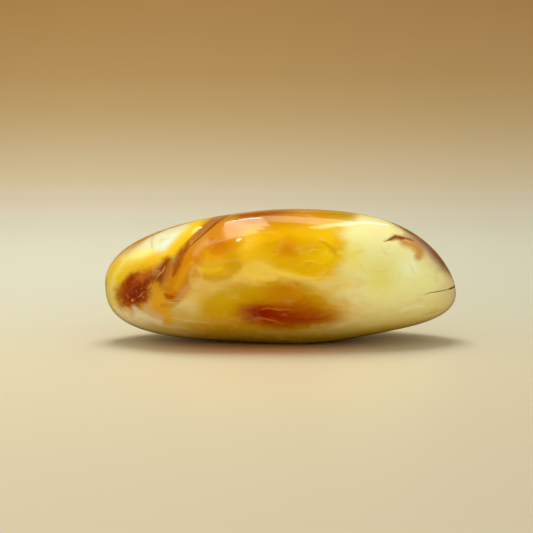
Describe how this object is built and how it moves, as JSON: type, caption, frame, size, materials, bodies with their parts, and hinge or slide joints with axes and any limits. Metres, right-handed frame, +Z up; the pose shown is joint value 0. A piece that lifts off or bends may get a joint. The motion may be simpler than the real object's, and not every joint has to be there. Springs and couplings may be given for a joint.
{
  "type": "polished amber pebble",
  "caption": "Smooth, elongated pebble of cloudy amber with a blunt end and a wedge-shaped end, a healed fissure near the blunt end, and a small worn flat to lie on.",
  "frame": {"origin": "on the surface that the stone lies on, under the middle of its bounding box", "axes": "+X along the stone to its wedge-shaped end, -Y out of its front, +Z up"},
  "size_m": [0.0601, 0.027, 0.0225],
  "materials": {
    "polished_amber": "polished"
  },
  "bodies": {
    "root": {"amber_pebble": "polished_amber"}
  },
  "joints": []
}
